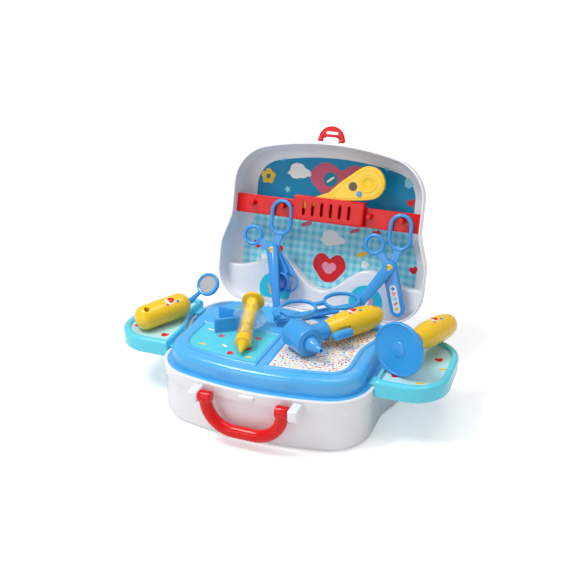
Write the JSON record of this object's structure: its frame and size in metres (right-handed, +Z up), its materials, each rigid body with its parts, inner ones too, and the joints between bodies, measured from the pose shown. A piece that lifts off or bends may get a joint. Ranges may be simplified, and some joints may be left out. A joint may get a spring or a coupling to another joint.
{
  "type": "toy doctor case",
  "caption": "Toy doctor case, open: case with deck, lid with tool rack, hook-on side trays and toy instruments laid out on them",
  "frame": {"origin": "centre of the base's underside, on the surface that it stands on", "axes": "+X to the right of a person facing the handle side, +Y from the handle side to the hinge side, +Z up; the handle side faces -Y"},
  "size_m": [0.364, 0.294, 0.2627],
  "materials": {
    "white_shell": "glossy moulded plastic",
    "red_plastic": "glossy moulded plastic",
    "blue_plastic": "glossy moulded plastic",
    "cyan_plastic": "glossy moulded plastic",
    "yellow_plastic": "glossy moulded plastic",
    "clear_plastic": "clear moulded plastic",
    "printed_sheet": "printed film",
    "printed_backdrop": "printed film",
    "white_sheet": "printed film",
    "steel_pin": "bare steel",
    "mirror_film": "polished film",
    "amber_plastic": "glossy moulded plastic"
  },
  "bodies": {
    "base": {"base_shell": "white_shell", "hinge_pins": "steel_pin", "deck_insert": "blue_plastic", "left_pad_bead": "blue_plastic", "right_pad_bead": "blue_plastic", "left_pad_print": "printed_sheet", "right_pad_print": "white_sheet"},
    "handle": {"handle": "red_plastic"},
    "lid": {"lid_shell": "white_shell", "lid_backdrop": "printed_backdrop", "left_dome_print": "printed_sheet", "right_dome_print": "printed_sheet", "tool_rack": "red_plastic", "latch_pin": "steel_pin"},
    "latch": {"latch_flap": "red_plastic"},
    "left_tray": {"left_tray": "cyan_plastic", "left_tray_print": "printed_sheet"},
    "right_tray": {"right_tray": "cyan_plastic", "right_tray_print": "printed_sheet"},
    "dental_mirror": {"mirror_grip_top": "yellow_plastic", "mirror_grip_bottom": "yellow_plastic", "mirror_frame": "blue_plastic", "mirror_plate": "mirror_film"},
    "percussor": {"percussor_grip_top": "yellow_plastic", "percussor_grip_bottom": "yellow_plastic", "percussor_head": "blue_plastic"},
    "forceps": {"forceps": "blue_plastic"},
    "syringe": {"syringe_barrel": "clear_plastic", "syringe_nozzle": "yellow_plastic"},
    "plunger": {"syringe_plunger": "yellow_plastic"},
    "glasses": {"glasses_front": "blue_plastic"},
    "left_temple": {"left_temple": "blue_plastic"},
    "right_temple": {"right_temple": "blue_plastic"},
    "otoscope": {"otoscope_head": "blue_plastic", "otoscope_speculum": "blue_plastic", "otoscope_grip_top": "yellow_plastic", "otoscope_grip_bottom": "yellow_plastic"},
    "trigger": {"otoscope_trigger": "blue_plastic"},
    "clamp": {"clamp_long_arm": "blue_plastic", "clamp_cap": "yellow_plastic"},
    "clamp_arm": {"clamp_round_arm": "blue_plastic"},
    "scissors": {"scissors_long_arm": "blue_plastic", "scissors_cap": "yellow_plastic"},
    "scissors_arm": {"scissors_round_arm": "blue_plastic", "scissors_strip": "white_sheet"},
    "thermometer": {"thermometer_front": "yellow_plastic", "thermometer_back": "yellow_plastic", "thermometer_window": "amber_plastic"},
    "button": {"thermometer_button": "blue_plastic"}
  },
  "joints": [
    {"name": "lid_hinge", "type": "hinge", "parent": "base", "child": "lid", "pos_m": [0, 0.097, 0.058], "axis": [1, 0, 0], "range_deg": [0, 38]},
    {"name": "handle_hinge", "type": "hinge", "parent": "base", "child": "handle", "pos_m": [0, -0.1056, 0.05], "axis": [-1, 0, 0], "range_deg": [0, 170]},
    {"name": "latch_hinge", "type": "hinge", "parent": "lid", "child": "latch", "pos_m": [0, 0.15361, 0.24715], "axis": [1, 0, 0], "range_deg": [0, 95]},
    {"name": "left_tray_lift", "type": "slide", "parent": "base", "child": "left_tray", "axis": [0, 0, 1], "range_m": [0, 0.012]},
    {"name": "right_tray_lift", "type": "slide", "parent": "base", "child": "right_tray", "axis": [0, 0, 1], "range_m": [0, 0.012]},
    {"name": "mirror_lift", "type": "slide", "parent": "left_tray", "child": "dental_mirror", "axis": [-0.5, -0.5, 0.7071], "range_m": [0, 0.015]},
    {"name": "percussor_lift", "type": "slide", "parent": "right_tray", "child": "percussor", "axis": [0, 0, 1], "range_m": [0, 0.015]},
    {"name": "forceps_lift", "type": "slide", "parent": "base", "child": "forceps", "axis": [0, 0, 1], "range_m": [0, 0.012]},
    {"name": "syringe_lift", "type": "slide", "parent": "forceps", "child": "syringe", "axis": [0, 0, 1], "range_m": [0, 0.012]},
    {"name": "plunger_slide", "type": "slide", "parent": "syringe", "child": "plunger", "axis": [-0.2157, 0.9342, 0.284], "range_m": [-0.0015, 0.02]},
    {"name": "glasses_lift", "type": "slide", "parent": "base", "child": "glasses", "axis": [0, -0.5, 0.866], "range_m": [0, 0.012]},
    {"name": "left_temple_hinge", "type": "hinge", "parent": "glasses", "child": "left_temple", "pos_m": [-0.01356, 0.01622, 0.07983], "axis": [0.6803, -0.7296, -0.0698], "range_deg": [0, 4]},
    {"name": "right_temple_hinge", "type": "hinge", "parent": "glasses", "child": "right_temple", "pos_m": [0.05861, 0.0928, 0.08031], "axis": [-0.6803, 0.7296, 0.0698], "range_deg": [0, 4]},
    {"name": "otoscope_lift", "type": "slide", "parent": "base", "child": "otoscope", "axis": [0, -0.5, 0.866], "range_m": [0, 0.015]},
    {"name": "trigger_slide", "type": "slide", "parent": "otoscope", "child": "trigger", "axis": [-0.809, 0.5878, 0], "range_m": [0, 0.0012], "stiffness_N_per_m": 200, "springref_m": -0.0005},
    {"name": "clamp_lift", "type": "slide", "parent": "lid", "child": "clamp", "axis": [0, -0.9636, 0.2672], "range_m": [0, 0.012]},
    {"name": "clamp_arm_hinge", "type": "hinge", "parent": "clamp", "child": "clamp_arm", "pos_m": [-0.058, 0.1169, 0.1189], "axis": [0, -0.9636, 0.2672], "range_deg": [-4, 10]},
    {"name": "scissors_lift", "type": "slide", "parent": "lid", "child": "scissors", "axis": [0, -0.9636, 0.2672], "range_m": [0, 0.012]},
    {"name": "scissors_arm_hinge", "type": "hinge", "parent": "scissors", "child": "scissors_arm", "pos_m": [0.083, 0.11663, 0.11793], "axis": [0, -0.9636, 0.2672], "range_deg": [0, 7]},
    {"name": "thermometer_lift", "type": "slide", "parent": "lid", "child": "thermometer", "axis": [0.9135, 0.1087, 0.3919], "range_m": [0, 0.02]},
    {"name": "button_slide", "type": "slide", "parent": "thermometer", "child": "button", "axis": [0, 0.9636, -0.2672], "range_m": [0, 0.001], "stiffness_N_per_m": 150, "springref_m": -0.0005}
  ]
}
